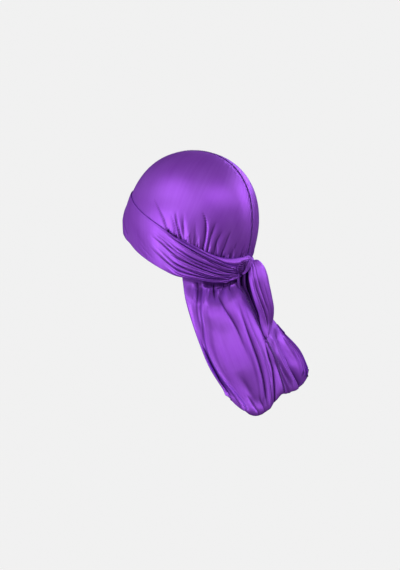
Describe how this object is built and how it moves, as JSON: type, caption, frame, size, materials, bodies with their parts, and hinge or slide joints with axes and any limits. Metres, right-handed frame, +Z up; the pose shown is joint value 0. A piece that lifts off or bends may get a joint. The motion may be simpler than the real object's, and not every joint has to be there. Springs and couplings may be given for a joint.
{
  "type": "durag",
  "caption": "tied satin head wrap with a seamed crown, crossed front wraps, a knot at the nape, free strap ends and a long flap down the neck",
  "frame": {"origin": "the inside top of the crown, where the head carries it", "axes": "+Z up, the wearer faces -Y, +X is the wearer's left, and the flap hangs toward -Z and +Y"},
  "size_m": [0.1614, 0.2563, 0.3763],
  "materials": {
    "satin": "purple polyester satin with a broad silky sheen",
    "overlock": "darker overlocked thread along the centre seam"
  },
  "bodies": {
    "root": {"cap_left": "satin", "cap_right": "satin", "crown_seam": "overlock", "wrap_left": "satin", "wrap_right": "satin", "nape_band": "satin", "knot": "satin", "strap_end_left": "satin", "strap_end_right": "satin", "tail_left": "satin", "tail_right": "satin", "tail_seam": "overlock"}
  },
  "joints": []
}
